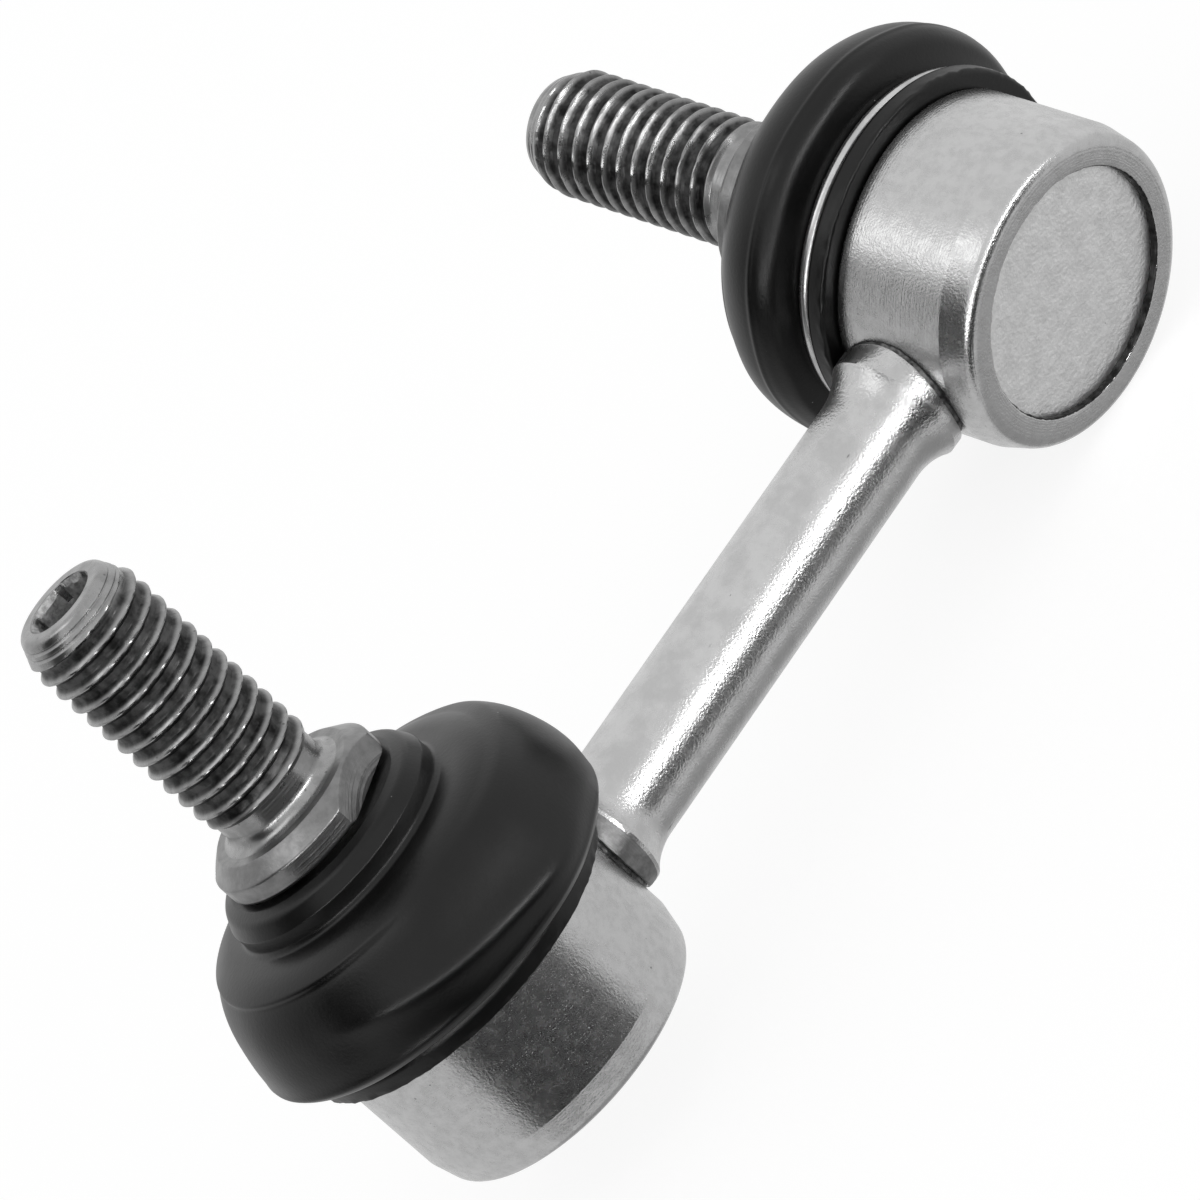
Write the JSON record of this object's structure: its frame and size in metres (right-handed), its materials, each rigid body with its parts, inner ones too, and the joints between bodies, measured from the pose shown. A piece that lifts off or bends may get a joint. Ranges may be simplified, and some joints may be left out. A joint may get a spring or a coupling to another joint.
{
  "type": "stabilizer link",
  "caption": "Short stabilizer link: a round rod with a ball joint welded across each end, each in a crimped cup with a rubber boot and a threaded stud.",
  "frame": {"origin": "centre of the lower stud's seat face, on the stud's axis", "axes": "+Z along the lower stud to its tip, +X along the rod from the lower joint to the upper one"},
  "size_m": [0.0993, 0.0563, 0.0574],
  "materials": {
    "zinc_steel": "zinc plated, satin",
    "cap_steel": "zinc plated, matt",
    "stud_steel": "rolled and turned, lightly oiled",
    "weld_steel": "as welded",
    "spring_wire": "bright",
    "ring_steel": "plain",
    "acetal": "moulded",
    "boot_rubber": "moulded, matt"
  },
  "bodies": {
    "link": {"link_rod": "zinc_steel", "lower_housing": "zinc_steel", "lower_end_cap": "cap_steel", "lower_ball_seat": "acetal", "lower_base_ring": "spring_wire", "lower_weld_seam": "weld_steel", "upper_housing": "zinc_steel", "upper_end_cap": "cap_steel", "upper_ball_seat": "acetal", "upper_base_ring": "spring_wire", "upper_weld_seam": "weld_steel"},
    "lower_boot_body": {"lower_boot": "boot_rubber"},
    "lower_neck_body": {"lower_neck_ring": "ring_steel"},
    "lower_stud_body": {"lower_ball_stud": "stud_steel"},
    "upper_boot_body": {"upper_boot": "boot_rubber"},
    "upper_neck_body": {"upper_neck_ring": "ring_steel"},
    "upper_stud_body": {"upper_ball_stud": "stud_steel"}
  },
  "joints": [
    {"name": "lower_tilt_about_rod", "type": "hinge", "parent": "link", "child": "lower_boot_body", "pos_m": [0, 0, -0.019], "axis": [1, 0, 0], "range_deg": [-18, 18], "deforming": ["lower_boot"]},
    {"name": "lower_tilt_along_rod", "type": "hinge", "parent": "lower_boot_body", "child": "lower_neck_body", "pos_m": [0, 0, -0.019], "axis": [0, 1, 0], "range_deg": [-18, 18], "deforming": ["lower_boot"]},
    {"name": "lower_stud_spin", "type": "hinge", "parent": "lower_neck_body", "child": "lower_stud_body", "pos_m": [0, 0, -0.019], "axis": [0, 0, 1], "continuous": true},
    {"name": "upper_tilt_about_rod", "type": "hinge", "parent": "link", "child": "upper_boot_body", "pos_m": [0.067, 0.00226, -0.02037], "axis": [1, 0, 0], "range_deg": [-18, 18], "deforming": ["upper_boot"]},
    {"name": "upper_tilt_along_rod", "type": "hinge", "parent": "upper_boot_body", "child": "upper_neck_body", "pos_m": [0.067, 0.00226, -0.02037], "axis": [0, 0.4617, -0.887], "range_deg": [-18, 18], "deforming": ["upper_boot"]},
    {"name": "upper_stud_spin", "type": "hinge", "parent": "upper_neck_body", "child": "upper_stud_body", "pos_m": [0.067, 0.00226, -0.02037], "axis": [0, 0.887, 0.4617], "continuous": true}
  ]
}
